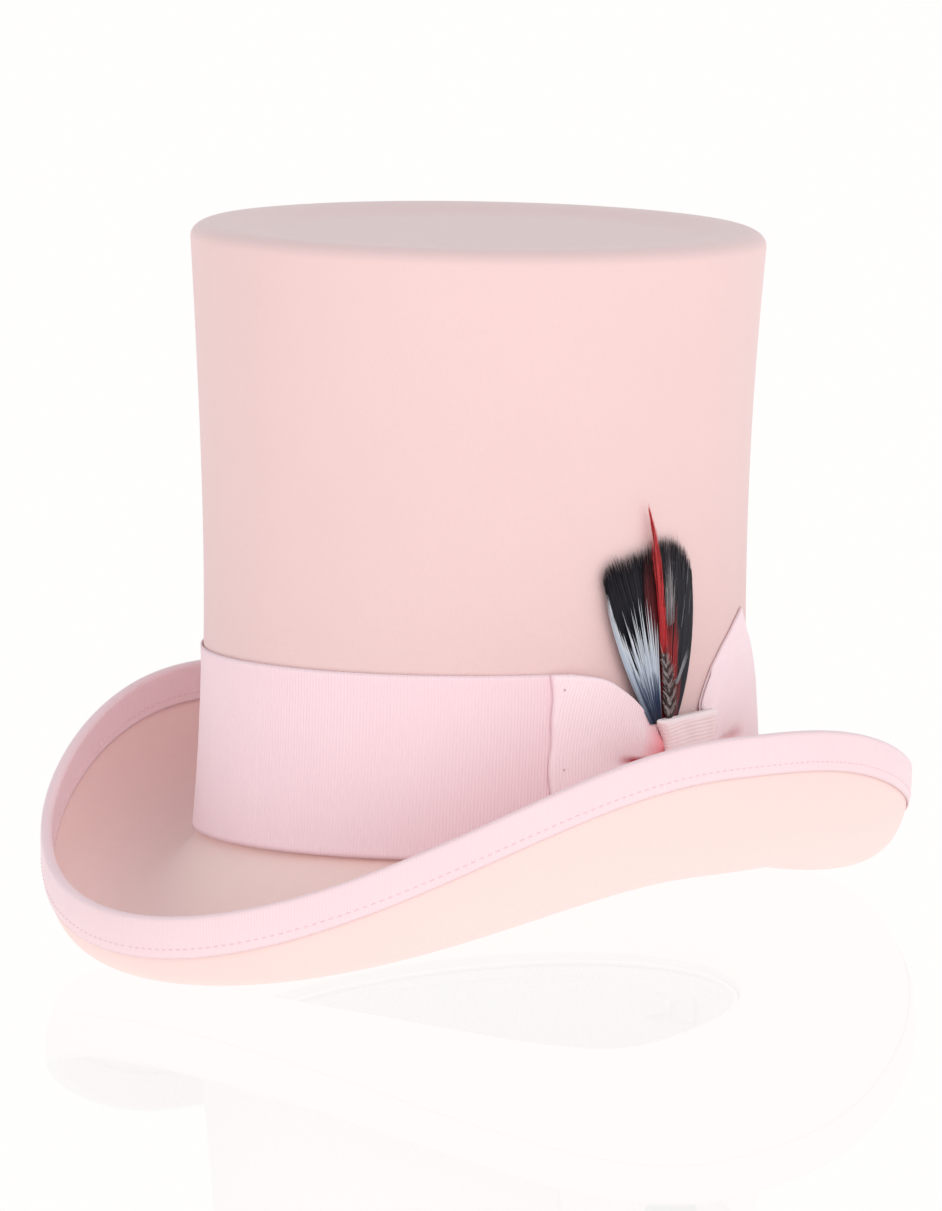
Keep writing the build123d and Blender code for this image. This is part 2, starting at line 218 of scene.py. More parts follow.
def brim_points(phi, t, lift, beyond=0.0):
    """Points on the brim; beyond carries them on past the surface's own end."""
    phi, t, lift, beyond = np.broadcast_arrays(phi, t, lift, beyond)
    radius, z, dr, dz = brim_section(phi, t, lift)
    radius = radius + dr * beyond
    return np.stack([radius * np.sin(phi), -radius * np.cos(phi), z + dz * beyond], -1)


def t_from_rim(phi, distance):
    """Value of t at a distance from the rim along the surface, for each angle."""
    steps = np.linspace(2, 1, 61)
    points = brim_points(phi[:, None], steps[None, :], 0.0)
    walked = np.linalg.norm(np.diff(points, axis=1), axis=2).cumsum(axis=1)
    walked = np.concatenate([np.zeros((len(phi), 1)), walked], axis=1)
    return np.array([np.interp(distance, row, steps) for row in walked])


def lengths_along(points):
    """Distance walked along rows of points, in metres, starting from 0."""
    steps = np.linalg.norm(np.diff(points, axis=-2), axis=-1) / 1000
    walked = np.cumsum(steps, axis=-1)
    return np.concatenate([np.zeros(points.shape[:-2] + (1,)), walked], axis=-1)


# ---------------------------------------- mesh helpers
def grid_mesh(name, points, uv, wrap=False):
    """Quads over rows and columns of points. wrap joins the last column to the first."""
    rows, columns = points.shape[:2]
    i, j = np.meshgrid(np.arange(rows - 1), np.arange(columns - 1), indexing="ij")
    corner_row = np.stack([i, i, i + 1, i + 1], -1).reshape(-1, 4)
    corner_column = np.stack([j, j + 1, j + 1, j], -1).reshape(-1, 4)
    kept = columns - 1 if wrap else columns
    faces = corner_row * kept + corner_column % kept
    vertices = to_row(points[:, :kept]).reshape(-1, 3)
    return finish_mesh(name, vertices, faces, uv[corner_row, corner_column])


def finish_mesh(name, vertices, faces, corner_uv):
    """A smooth mesh with one texture map."""
    mesh = bpy.data.meshes.new(name)
    mesh.from_pydata(vertices.tolist(), [], faces.tolist())
    layer = mesh.uv_layers.new(name="UVMap")
    layer.data.foreach_set("uv", np.asarray(corner_uv, np.float32).reshape(-1))
    mesh.shade_smooth()
    return mesh


def weld_middle(mesh):
    """Joins the points of a last ring that has shrunk to nothing."""
    work = bmesh.new()
    work.from_mesh(mesh)
    bmesh.ops.remove_doubles(work, verts=work.verts, dist=1e-6)
    work.to_mesh(mesh)
    work.free()


def uv_of(points, across):
    """Texture coordinates in metres: x along the columns, y as given for each row."""
    along = lengths_along(points)
    across = np.broadcast_to(np.asarray(across, float)[:, None], along.shape)
    return np.stack([along, across], -1)


def add_piece(mesh, material, body, nodes=(), thickness=0.0, offset=-1.0):
    """Puts a mesh in the scene, gives it thickness and ties it to its CAD body."""
    piece = bpy.data.objects.new(mesh.name, mesh)
    bpy.context.scene.collection.objects.link(piece)
    mesh.materials.append(material)
    if thickness:
        solid = piece.modifiers.new("thickness", "SOLIDIFY")
        solid.thickness = thickness / 1000
        solid.offset = offset
    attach(piece, body)
    if nodes:
        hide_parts(*nodes)
    return piece


def stitch_mesh(name, path, normals, pitch, length, radius):
    """A row of separate stitches, each a small rounded bar, along a line of points."""
    walked = lengths_along(path) * 1000
    count = int(walked[-1] / pitch)
    share = np.linspace(0, 1, 6)
    at = np.arange(count)[:, None] * pitch + length * share[None, :]
    centre = np.stack([np.interp(at, walked, path[:, k]) for k in range(3)], -1)
    normal = np.stack([np.interp(at, walked, normals[:, k]) for k in range(3)], -1)
    along = np.gradient(centre, axis=1)
    along /= np.linalg.norm(along, axis=2, keepdims=True)
    side = np.cross(along, normal)
    thick = radius * np.array([0.2, 0.8, 1.0, 1.0, 0.8, 0.2])
    sides = 6
    angle = np.arange(sides) * 2 * pi / sides
    ring = np.cos(angle)[:, None] * normal[:, :, None] + np.sin(angle)[:, None] * side[:, :, None]
    points = centre[:, :, None] + ring * thick[None, :, None, None]
    points -= normal[:, :, None] * (radius * 0.6 * (1 - thick / radius))[None, :, None, None]
    k, j = np.meshgrid(np.arange(len(share) - 1), np.arange(sides), indexing="ij")
    one = np.stack([
        k * sides + j, k * sides + (j + 1) % sides,
        (k + 1) * sides + (j + 1) % sides, (k + 1) * sides + j], -1).reshape(-1, 4)
    faces = (one[None] + (np.arange(count) * len(share) * sides)[:, None, None]).reshape(-1, 4)
    return finish_mesh(name, to_row(points).reshape(-1, 3), faces, np.zeros((len(faces), 4, 2)))


# ---------------------------------------- materials
class Shader:
    """A material's node tree, with short calls for adding nodes."""

    def __init__(self, name):
        self.material = bpy.data.materials.new(name)
        self.material.use_nodes = True
        self.tree = self.material.node_tree
        self.surface = self.tree.nodes["Principled BSDF"]

    def add(self, kind, **inputs):
        node = self.tree.nodes.new(kind)
        for key, value in inputs.items():
            self.put(node, key, value)
        return node

    def put(self, node, key, value):
        """Links or sets an input, which is given by its name or its number."""
        socket = node.inputs[key]
        if isinstance(value, bpy.types.NodeSocket):
            self.tree.links.new(value, socket)
        else:
            socket.default_value = value

    def math(self, operation, *values):
        node = self.tree.nodes.new("ShaderNodeMath")
        node.operation = operation
        for i, value in enumerate(values):
            self.put(node, i, value)
        return node.outputs[0]

    def mix(self, factor, first, second):
        """Colour mix; this node has its colours at inputs 6 and 7 and output 2."""
        node = self.tree.nodes.new("ShaderNodeMix")
        node.data_type = "RGBA"
        for i, value in ((0, factor), (6, first), (7, second)):
            self.put(node, i, value)
        return node.outputs[2]

    def noise(self, scale, detail=4.0, roughness=0.55, stretch=None):
        place = self.add("ShaderNodeTexCoord").outputs["Object"]
        if stretch:
            place = self.add("ShaderNodeMapping", Vector=place, Scale=stretch).outputs[0]
        node = self.add("ShaderNodeTexNoise", Vector=place)
        self.put(node, "Scale", scale)
        self.put(node, "Detail", detail)
        self.put(node, "Roughness", roughness)
        return node.outputs[0]

    def ramp(self, value, low, high):
        """0 at low, 1 at high, in a straight line between; low may be the larger."""
        share = self.math("DIVIDE", self.math("SUBTRACT", value, low), high - low)
        return self.math("MINIMUM", self.math("MAXIMUM", share, 0.0), 1.0)

    def uv(self):
        split = self.add("ShaderNodeSeparateXYZ", Vector=self.add("ShaderNodeUVMap").outputs[0])
        return split.outputs[0], split.outputs[1]

    def bump(self, height, distance, strength=1.0):
        node = self.add("ShaderNodeBump", Height=height, Distance=distance, Strength=strength)
        self.put(self.surface, "Normal", node.outputs[0])

    def finish(self, colour, roughness, sheen=0.0, sheen_tint=(1, 1, 1, 1)):
        self.put(self.surface, "Base Color", colour)
        self.put(self.surface, "Roughness", roughness)
        self.put(self.surface, "Sheen Weight", sheen)
        self.put(self.surface, "Sheen Roughness", 0.45)
        self.put(self.surface, "Sheen Tint", sheen_tint)
        self.put(self.surface, "Specular IOR Level", 0.25)
        return self.material


def rgba(colour, factor=1.0):
    return tuple(min(1.0, c * factor) for c in colour) + (1.0,)


def felt(name, colour):
    """Brushed wool felt: short fibres, faint clouding and a soft sheen."""
    s = Shader(name)
    fibres = s.noise(1400.0, 6.0, 0.7)
    lay = s.noise(500.0, 5.0, 0.6, stretch=(1.0, 1.0, 0.35))
    clouds = s.noise(22.0, 3.0)
    shade = s.mix(clouds, rgba(colour, 0.965), rgba(colour, 1.03))
    speck = s.math("MULTIPLY_ADD", s.math("SUBTRACT", fibres, 0.5), 0.30, 0.5)
    shade = s.mix(speck, rgba(colour, 0.93), shade)
    height = s.math("MULTIPLY_ADD", lay, 0.6, fibres)
    s.bump(height, 0.00035, 0.45)
    return s.finish(shade, 0.95, sheen=0.30)


def grosgrain(name, colour, pitch, width, depth=0.00012, pleat=None):
    """Ribbed ribbon: ribs across it, fine warp along it, and a firmer woven edge.
    pleat paints shade and light into a bow's fold: a painted shadow along the pleat,
    and painted bounce light where the gathers run under the knot.  It gives the fold's
    place across the ribbon, its start and end along it, its strength, and how far the
    gathers reach."""
    s = Shader(name)
    along, across = s.uv()
    wander = s.math("MULTIPLY_ADD", s.noise(60.0, 2.0), pitch * 0.5, along)
    rib = s.math("SINE", s.math("MULTIPLY", wander, 2 * pi / pitch))
    warp = s.math("SINE", s.math("MULTIPLY", across, 2 * pi / 0.00045))
    fibres = s.noise(2600.0, 3.0)
    near_edge = s.math("ABSOLUTE", s.math("SUBTRACT", s.math("ABSOLUTE", across), width / 2))
    edge = s.math("LESS_THAN", near_edge, 0.0007)
    # The ribs' grooves are painted darker, as painted shade, and random tone is laid over them.
    rib_shade_and_tone = s.math("MULTIPLY_ADD", rib, 0.30, 0.55)
    rib_shade_and_tone = s.math("MULTIPLY_ADD", s.math("SUBTRACT", s.noise(35.0, 3.0), 0.5), 0.8, rib_shade_and_tone)
    shade = s.mix(rib_shade_and_tone, rgba(colour, 0.955), rgba(colour, 1.02))
    shade = s.mix(s.math("MULTIPLY", edge, 0.35), shade, rgba(colour, 0.90))
    if pleat:
        place, start, end, strength, gather = pleat
        # Painted bounce light: a salmon glow where the gathers run under the knot.
        if gather:
            gathered = s.math("MULTIPLY", s.ramp(along, gather, 0.004), s.ramp(across, 0.031, 0.020))
            shade = s.mix(gathered, shade, rgba(GATHER_BOUNCE_LIGHT_PINK))
        # Painted shadow: dark red along the pleat, deepest near the knot.
        off_fold = s.math("ABSOLUTE", s.math("SUBTRACT", across, place))
        begun = s.ramp(along, start - 0.004, start + 0.004)
        reach = s.math("MULTIPLY", begun, s.ramp(along, end, end - 0.008))
        reach = s.math("MULTIPLY", reach, strength)
        deep = s.math("MULTIPLY", s.ramp(off_fold, 0.0028, 0.0005), reach)
        shade = s.mix(deep, shade, rgba(PLEAT_SHADOW_RED))
    height = s.math("MULTIPLY_ADD", warp, 0.12, rib)
    height = s.math("MULTIPLY_ADD", fibres, 0.35, height)
    s.bump(height, depth, 0.5)
    return s.finish(shade, 0.62, sheen=0.22)


def satin(name, colour):
    """Smooth lining cloth with a fine weave and soft creases."""
    s = Shader(name)
    along, across = s.uv()
    weave = s.math("SINE", s.math("MULTIPLY", along, 2 * pi / 0.0006))
    cross = s.math("SINE", s.math("MULTIPLY", across, 2 * pi / 0.0006))
    creases = s.noise(45.0, 4.0, 0.5, stretch=(1.0, 1.0, 0.3))
    # The colour is painted darker in the crease valleys and lighter on their ridges: painted shade and
    # highlight.
    shade = s.mix(creases, rgba(colour, 0.93), rgba(colour, 1.04))
    height = s.math("MULTIPLY_ADD", creases, 6.0, s.math("ADD", weave, cross))
    s.bump(height, 0.00008, 0.6)
    return s.finish(shade, 0.34, sheen=0.1)


def thread(name, colour):
    """Sewing thread with its twist."""
    s = Shader(name)
    twist = s.noise(3200.0, 2.0, 0.5, stretch=(1.0, 0.4, 1.0))
    shade = s.mix(twist, rgba(colour, 0.86), rgba(colour, 1.05))
    s.bump(twist, 0.0001, 0.7)
    return s.finish(shade, 0.55, sheen=0.15)


def plume(name, root, middle, tip, spread=0.25, sheen=0.08):
    """Feather barbs: colour runs from root to tip and differs from barb to barb."""
    s = Shader(name)
    along, own = s.uv()
    early = s.mix(s.math("MULTIPLY", along, 2.0), rgba(root), rgba(middle))
    late = s.math("MAXIMUM", s.math("MULTIPLY_ADD", along, 2.0, -1.0), 0.0)
    shade = s.mix(late, early, rgba(tip))
    dark = s.mix(0.5, shade, rgba((0.0, 0.0, 0.0)))
    shade = s.mix(s.math("MULTIPLY", own, spread), shade, dark)
    streak = s.noise(900.0, 3.0, 0.5, stretch=(1.0, 1.0, 0.15))
    s.bump(streak, 0.0001, 0.5)
    return s.finish(shade, 0.5, sheen=sheen)


def barred_plume(name, dark, pale):
    """A small feather whose barbs are barred light and dark."""
    s = Shader(name)
    along, own = s.uv()
    uneven = s.math("MULTIPLY_ADD", s.noise(420.0, 3.0), 1.3, own)
    bars = s.math("SINE", s.math("MULTIPLY", uneven, 2 * pi))
    bars = s.math("SUBTRACT", s.math("MULTIPLY_ADD", along, 0.5, bars), 0.1)
    bars = s.math("MINIMUM", s.math("MAXIMUM", s.math("MULTIPLY_ADD", bars, 1.5, 0.5), 0.0), 1.0)
    streak = s.noise(900.0, 3.0)
    shade = s.mix(bars, rgba(dark), s.mix(streak, rgba(pale, 0.8), rgba(pale)))
    s.bump(streak, 0.0001, 0.5)
    return s.finish(shade, 0.6, sheen=0.1)


def steel(name):
    """Drawn wire: fine marks along its length."""
    s = Shader(name)
    drawn = s.noise(1200.0, 3.0, 0.5, stretch=(1.0, 1.0, 0.05))
    shade = s.mix(drawn, rgba((0.55, 0.55, 0.57)), rgba((0.75, 0.75, 0.76)))
    s.bump(drawn, 0.00003, 0.4)
    s.put(s.surface, "Metallic", 1.0)
    return s.finish(shade, 0.3)


def reed_plastic(name):
    """The reed's smooth plastic."""
    s = Shader(name)
    drawn = s.noise(700.0, 3.0)
    shade = s.mix(drawn, rgba((0.83, 0.68, 0.66)), rgba((0.89, 0.74, 0.72)))
    s.bump(drawn, 0.00005, 0.4)
    return s.finish(shade, 0.4)


# Colours are linear.
FELT_PINK = (0.845, 0.597, 0.583)
# The brim's felt is the crown's felt painted lighter: painted light for its shaded gutter and underside.
BRIM_LIGHTENED_PINK = (0.930, 0.680, 0.645)
RIBBON_PINK = (0.940, 0.690, 0.735)
BINDING_PINK = (0.890, 0.660, 0.690)
# The bow's wings and knot are the band's ribbon painted lighter: painted light for the light they lack
# beside the brim.
WING_LIGHTENED_PINK = (0.995, 0.765, 0.805)
KNOT_LIGHTENED_PINK = (1.000, 0.800, 0.810)
THREAD_PINK = (0.880, 0.610, 0.650)
# Painted shadow in the bow's pleats, and painted bounce light where the gathers run under the knot.
PLEAT_SHADOW_RED = (0.48, 0.03, 0.06)
GATHER_BOUNCE_LIGHT_PINK = (1.0, 0.33, 0.37)

MATERIALS = {
    "crown": felt("crown_felt_look", FELT_PINK),
    "brim": felt("brim_felt_look", BRIM_LIGHTENED_PINK),
    "band": grosgrain("band_grosgrain", RIBBON_PINK, 0.00115, BAND_WIDTH / 1000),
    # The wings' pleat settings paint shadow into their pleats and bounce light at the knot.
    "wing": grosgrain("wing_grosgrain", WING_LIGHTENED_PINK, 0.00115, BAND_WIDTH / 1000,
                      pleat=(0.0016, 0.008, 0.024, 1.0, 0.014)),
    "rear_wing": grosgrain("rear_wing_grosgrain", WING_LIGHTENED_PINK, 0.00115, BAND_WIDTH / 1000,
                           pleat=(-0.0045, 0.014, 0.029, 0.4, None)),
    "knot": grosgrain("knot_grosgrain", KNOT_LIGHTENED_PINK, 0.0013, KNOT_RIBBON / 1000, 0.00007),
    "binding": grosgrain("binding_grosgrain", BINDING_PINK, 0.0011, BINDING_RIBBON / 1000, 0.00008),
    "tape": grosgrain("sweatband_tape", (0.86, 0.70, 0.69), 0.0010, 0.037),
    "satin": satin("lining_satin", (0.88, 0.74, 0.74)),
    "bow_satin": satin("small_bow_satin", (0.90, 0.70, 0.72)),
    "thread": thread("pink_sewing_thread", THREAD_PINK),
    "tack": thread("tack_thread", (0.58, 0.34, 0.40)),
    "wrap": thread("black_wrap_thread", (0.02, 0.02, 0.025)),
    "black": plume("black_barbs", (0.005, 0.006, 0.018), (0.004, 0.004, 0.010), (0.012, 0.009, 0.014),
                   sheen=0.03),
    "under_red": plume("dark_red_barbs", (0.13, 0.010, 0.014), (0.14, 0.008, 0.012), (0.07, 0.010, 0.014)),
    "red": plume("red_barbs", (0.44, 0.012, 0.018), (0.62, 0.020, 0.026), (0.80, 0.070, 0.075), 0.6),
    "deep_red": plume("deep_red_barbs", (0.22, 0.008, 0.012), (0.36, 0.010, 0.016), (0.30, 0.012, 0.016),
                      0.5),
    "pale": plume("pale_barbs", (0.03, 0.05, 0.11), (0.60, 0.68, 0.80), (0.84, 0.85, 0.88), 0.45),
    "blue": plume("blue_black_barbs", (0.006, 0.010, 0.026), (0.03, 0.05, 0.11), (0.16, 0.22, 0.32)),
    "grey": plume("grey_strays", (0.30, 0.32, 0.36), (0.42, 0.43, 0.47), (0.48, 0.46, 0.48)),
    "white": plume("white_wisps", (0.40, 0.32, 0.33), (0.72, 0.65, 0.67), (0.74, 0.66, 0.67), 0.8),
    "barred": barred_plume("barred_barbs", (0.045, 0.030, 0.030), (0.33, 0.285, 0.275)),
    "steel": steel("pin_steel"),
    "reed": reed_plastic("reed_plastic"),
}


# ---------------------------------------- felt body
def build_crown():
    """Flared side, rolled top edge and a tip sunk slightly inside it."""
    side = -RIBBON - AIR
    rows = [crown_points(PHI, z, side) for z in np.linspace(0, CROWN_HEIGHT - ROLL_HEIGHT, 70)]
    for angle in np.radians(np.linspace(7.5, 90, 12)):
        z = CROWN_HEIGHT - ROLL_HEIGHT * (1 - sin(angle))
        rows.append(crown_points(PHI, z, side - TIP_ROLL * (1 - cos(angle))))
    for inset in np.linspace(TIP_ROLL + 1.5, DISH_END + 4, 16):
        ring = crown_points(PHI, CROWN_HEIGHT, side - inset)
        ring[:, 2] -= DISH_DEPTH * smooth(inset, DISH_START, DISH_END)
        rows.append(ring)
    last = rows[-1]
    middle = last.mean(axis=0)
    for share in np.linspace(0.94, 0.0, 16):
        ring = middle + (last - middle) * share
        ring[:, 2] += 0.7 * (1 - share) + 0.15 * np.sin(3 * PHI) * share
        rows.append(ring)
    points = np.array(rows)
    mesh = grid_mesh("crown_shell", points, uv_of(points, np.arange(len(rows)) * 0.003), wrap=True)
    weld_middle(mesh)
    add_piece(mesh, MATERIALS["crown"], "hat", ["crown_felt"], CROWN_FELT)


def build_brim():
    """One closed felt skin: out along the underside, round the rim, back along the top,
    up the collar inside the crown and down its inner face."""
    rows = [brim_points(PHI, t, -BRIM_FELT) for t in np.linspace(0, 2, 60)]
    rows += [brim_points(PHI, t, 0.0) for t in np.linspace(2, 0, 60)]
    outward = rows[-1] / np.linalg.norm(rows[-1][:, :2], axis=1, keepdims=True)
    outward[:, 2] = 0
    top = rows[-1] - COLLAR_LEAN * outward + np.array([0, 0, COLLAR_HEIGHT])
    rows += [top, top - COLLAR * outward, rows[0]]
    points = np.array(rows)
    mesh = grid_mesh("brim_shell", points, uv_of(points, np.arange(len(rows)) * 0.001), wrap=True)
    add_piece(mesh, MATERIALS["brim"], "hat", ["brim_felt"])


def binding_rows():
    """The ribbon folded over the rim: underside, round edge and upper side."""
    half = (BRIM_FELT + 2 * BINDING_AIR + 2 * RIBBON) / 2
    outer = [t_from_rim(PHI, w) for w in np.linspace(BINDING_WIDTH, 0.6, 14)]
    inner = outer[::-1]
    rows = [brim_points(PHI, t, -BRIM_FELT / 2 - half) for t in outer]
    for angle in np.radians(np.linspace(-80, 80, 9)):
        rows.append(brim_points(PHI, 2.0, -BRIM_FELT / 2 + half * sin(angle), 1.5 * cos(angle)))
    return rows + [brim_points(PHI, t, -BRIM_FELT / 2 + half) for t in inner]


def build_binding():
    rows = np.array(binding_rows())
    edge = rows[len(rows) // 2]
    across = np.linspace(-0.5, 0.5, len(rows)) * BINDING_RIBBON / 1000
    uv = np.stack(np.broadcast_arrays(lengths_along(edge)[None, :], across[:, None]), -1)
    mesh = grid_mesh("rim_binding", rows, uv, wrap=True)
    binding = add_piece(mesh, MATERIALS["binding"], "hat", ["brim_binding"], RIBBON)


def build_binding_stitches():
    """A row of machine stitches on each face of the binding."""
    t = t_from_rim(PHI, BINDING_WIDTH - STITCH_INSET)
    for name, lift, node in (
        ("stitches_outside", -BRIM_FELT - BINDING_AIR - RIBBON, "binding_thread_outside"),
        ("stitches_inside", BINDING_AIR + RIBBON, "binding_thread_inside"),
    ):
        path = brim_points(PHI, t, lift)
        away = brim_points(PHI, t, lift + np.sign(lift)) - path
        mesh = stitch_mesh(name, path, away, 3.0, 2.3, 0.24)
        add_piece(mesh, MATERIALS["thread"], "hat", [node])


# ---------------------------------------- band and bow
def build_band():
    """The ribbon round the crown; its top edge dips behind the bow."""
    heights = np.linspace(0.3, BAND_WIDTH, 40)
    lift = 0.02 + 0.25 * smooth(heights, BAND_WIDTH - 8, BAND_WIDTH)
    lift += 0.15 * (1 - smooth(heights, 0, 6))
    y = -HALF_LENGTH * np.cos(PHI)
    dip = np.interp(y, [-38, -22, -3, 30, 39], [0.0, 4.0, 20.0, 20.0, 0.0]) * (np.sin(PHI) > 0)
    z = heights[:, None] * (1 - dip / BAND_WIDTH)[None, :]
    points = crown_points(PHI[None, :], z, lift[:, None])
    mesh = grid_mesh("ribbon_band", points, uv_of(points, (heights - BAND_WIDTH / 2) / 1000), wrap=True)
    band = add_piece(mesh, MATERIALS["band"], "hat", ["hatband"], RIBBON)


def wing_mesh(name, y, top, bottom, offset):
    """A flat ribbon loop, from one end to the other.  y, top and bottom have a value for
    each column, and offset is a function of the share of the ribbon's width."""
    share = np.linspace(0, 1, WING_ROWS)[:, None]
    z = bottom + (top - bottom) * share
    at_fold = np.exp(-((y - y.min()) / 4.0) ** 2)
    wavy = 0.5 * np.sin(9.0 * share + 0.6) + 0.25 * np.sin(23.0 * share)
    points = left_side_points(y + wavy * at_fold, z, offset(share))
    return grid_mesh(name, points, uv_of(points, (share[:, 0] - 0.5) * BAND_WIDTH / 1000))


def build_front_wing():
    """A loop: the front layer runs from under the knot to the fold, and the back
    layer returns against the band."""
    columns = np.linspace(0, 1, WING_COLUMNS)
    fold = 0.48            # the share of the columns in the front layer
    front = smooth(columns, fold + 0.01, fold - 0.01)
    to_knot = np.abs(columns - fold) / np.where(columns > fold, 1 - fold, fold)
    y = FRONT_FOLD_Y + FRONT_WING_LENGTH * to_knot ** 1.15
    places = [FRONT_FOLD_Y, -33, -22, -10, -3, 6]
    top = rounded(np.interp(y, places, [62.6, 62.4, 60.5, 52.5, 45.2, 41]))
    bottom = rounded(np.interp(y, places, [0.9, 1.1, 3.0, 9.5, 16.5, 20]))

    def offset(share):
        """A swelling loop with a deep pleat along its middle, gathered at the knot."""
        swell = np.sin(pi * np.clip(to_knot, 0, 1)) ** 0.8 * 1.9
        lobes = 1 - 0.9 * np.exp(-((share - 0.50) / 0.12) ** 2) * smooth(to_knot, 0.25, 0.8)
        pleat = 2.9 * smooth(to_knot, 0.45, 0.85) * np.exp(-((share - 0.49) / 0.045) ** 2)
        gather = 0.5 * smooth(to_knot, 0.5, 1.0) * np.sin(share * 6 * pi)
        near_fold = 1.6 * np.sqrt(np.clip(to_knot / 0.03, 0, 1))
        upper = near_fold + swell * lobes - pleat + gather
        return np.maximum(0.45 + front * upper, 0.4)

    mesh = wing_mesh("bow_wing_front", y, top, bottom, offset)
    wing = add_piece(mesh, MATERIALS["wing"], "hat", ["bow_front_wing"], 0.5, 0.0)


def build_rear_wing():
    """The other loop is tilted up: it stands higher than the band, settles against the
    crown along its upper edge and ends in a slanting fold."""
    columns = np.linspace(0, 1, WING_COLUMNS)[None, :]
    front = smooth(columns, 0.51, 0.49)
    from_knot = 1 - np.abs(2 * columns - 1)
    share = np.linspace(0, 1, WING_ROWS)[:, None]
    fold = 79.5 - 19.5 * share
    y = REAR_WING_START_Y + (fold - REAR_WING_START_Y) * from_knot ** 0.9
    places = [REAR_WING_START_Y, 28.5, 33.3, 40.5, 51.5, 59, 80]
    top = np.interp(y, places, [47.2, 53.5, 60.0, 66.3, 73.7, 77.5, 78])
    bottom = np.interp(y, [REAR_WING_START_Y, 34, 50, 80], [20, 16, 9, 8])
    z = bottom + (top - bottom) * share
    swell = np.sin(pi * np.clip(from_knot + 0.08, 0, 1)) ** 0.6 * 1.5
    pleat = 2.6 * smooth(from_knot, 0.6, 0.2) * np.exp(-((share - 0.42) / 0.05) ** 2)
    crease = 0.6 * smooth(z - (58.5 + 0.33 * (y - 33)), -0.7, 0.7)
    near_fold = (3.0 - 2.0 * smooth(share, 0.6, 1.0)) * np.sqrt(np.clip((1 - from_knot) / 0.03, 0, 1))
    tucked = 1.9 * smooth(from_knot, 0.45, 0.0) * smooth(share, 1.0, 0.8)
    offset = 0.45 + front * (near_fold + swell * (1 - share) + tucked - pleat - crease)
    settled = 0.6 * smooth(share, 0.90, 0.98) * smooth(z, 46, 49)
    offset = np.maximum(offset, 0.4) - settled
    points = left_side_points(y, z, offset)
    mesh = grid_mesh("bow_wing_rear", points, uv_of(points, (share[:, 0] - 0.5) * BAND_WIDTH / 1000))
    wing = add_piece(mesh, MATERIALS["rear_wing"], "hat", ["bow_rear_wing"], 0.35, 0.0)


def build_knot():
    """The strap over the bow's middle: narrower at its waist, curled at both ends."""
    height = np.linspace(-1, 1, 48)[:, None]
    across = np.linspace(-1, 1, 40)[None, :]
    half_front = 12.8 + 5.6 * height ** 2
    half_rear = 16.0 + 2.2 * height ** 2
    y = KNOT_Y + np.where(across < 0, half_front, half_rear) * across
    z = KNOT_Z + KNOT_HALF_HEIGHT * height * (1 - 0.02 * across ** 2)
    z = z + 0.8 * across * np.abs(height)
    curl = 2.2 * np.clip((np.abs(height) - 0.9) / 0.1, 0, 1) ** 2
    sides = 2.6 * np.clip((-across - 0.86) / 0.14, 0, 1) ** 2
    sides = sides + 3.2 * np.clip((across - 0.45) / 0.55, 0, 1) ** 1.5
    crease = 0.35 * np.sin(across * 9 + height * 2)
    offset = KNOT_STAND_OFF - curl - sides + crease * (1 - height ** 2)
    points = left_side_points(y, z, offset).transpose(1, 0, 2)[::-1]
    mesh = grid_mesh("bow_knot_strap", points, uv_of(points, across[0] * KNOT_RIBBON / 2000))
    knot = add_piece(mesh, MATERIALS["knot"], "hat", ["bow_knot"], RIBBON)


def build_tacks():
    """Two crossed stitches at each place where the bow's fold is caught down."""
    outward = np.tile([0.88, -0.42, 0.0], (2, 1))
    vertices, faces = [], []
    for z in TACK_HEIGHTS:
        for tilt in (-0.4, 0.4):
            path = left_side_points(TACK_Y, z + tilt * np.array([-1, 1]), 3.2)
            stitch = stitch_mesh("tack", path, outward, 0.9, 0.9, 0.2)
            start = len(vertices)
            vertices += [list(v.co) for v in stitch.vertices]
            faces += [[start + k for k in p.vertices] for p in stitch.polygons]
            bpy.data.meshes.remove(stitch)
    mesh = finish_mesh("bow_tacks", np.array(vertices), np.array(faces), np.zeros((len(faces), 4, 2)))
    add_piece(mesh, MATERIALS["tack"], "hat", ["bow_tack_stitches"])


# ---------------------------------------- inside the hat
def build_sweatband():
    """Tape round the inside of the crown's foot, and the stitches that hold it."""
    heights = np.linspace(2.4, SWEATBAND_HEIGHT, 24)
    ease = 0.15 * np.sin(heights / 9)
    points = crown_points(PHI[None, :], heights[:, None], (-SWEATBAND_INSET - 1.0 - ease)[:, None])
    mesh = grid_mesh("sweatband_tape", points, uv_of(points, (heights - 20) / 1000), wrap=True)
    band = add_piece(mesh, MATERIALS["tape"], "hat", ["sweatband"], 0.8, 1.0)
    path = crown_points(PHI, 5.5, -SWEATBAND_INSET - 1.35)
    inward = -path * np.array([1, 1, 0])
    inward /= np.linalg.norm(inward, axis=1, keepdims=True)
    mesh = stitch_mesh("sweatband_stitches", path, inward, 3.2, 2.4, 0.24)
    add_piece(mesh, MATERIALS["thread"], "hat", ["sweatband_thread"])


